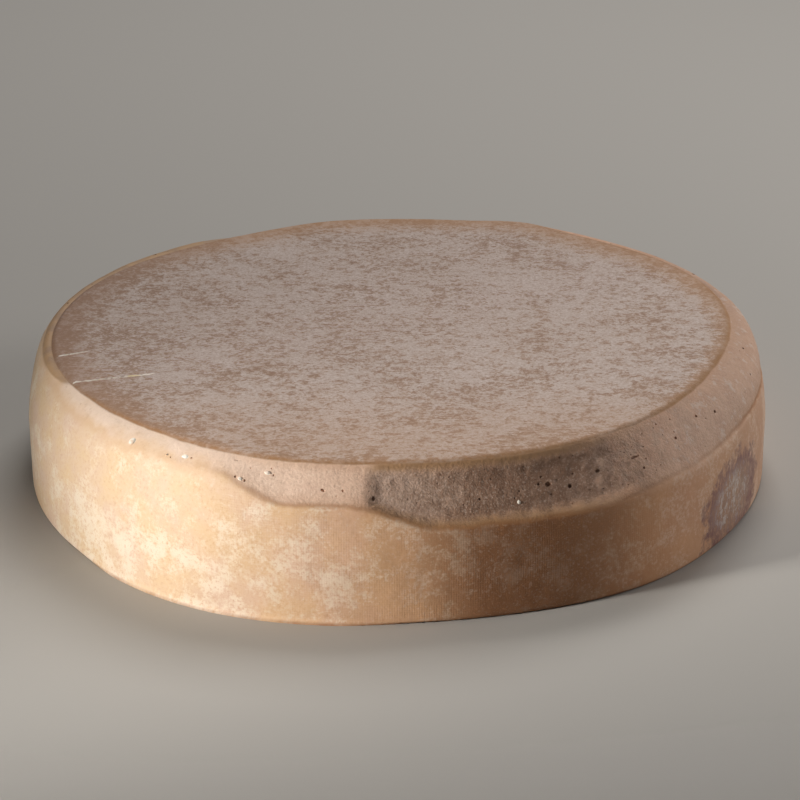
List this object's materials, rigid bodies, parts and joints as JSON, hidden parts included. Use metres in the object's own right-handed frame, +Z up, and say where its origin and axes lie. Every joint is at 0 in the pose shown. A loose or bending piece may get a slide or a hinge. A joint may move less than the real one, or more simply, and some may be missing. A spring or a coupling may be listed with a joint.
{
  "type": "raclette cheese wheel",
  "caption": "Whole round washed-rind raclette cheese wheel lying flat, with a low upright wall, a rounded shoulder and a worn, pitted ledge at the front.",
  "frame": {"origin": "centre of the flat underside of the wheel", "axes": "+Z up, square to the flat underside and along the wheel's height; -Y towards the worn front of the wheel"},
  "size_m": [0.3209, 0.3248, 0.062],
  "materials": {
    "rind": "dry washed cheese rind, beige to amber with a thin pinkish grey bloom on the top face, matte and slightly waxy"
  },
  "bodies": {
    "root": {"wheel": "rind"}
  },
  "joints": []
}
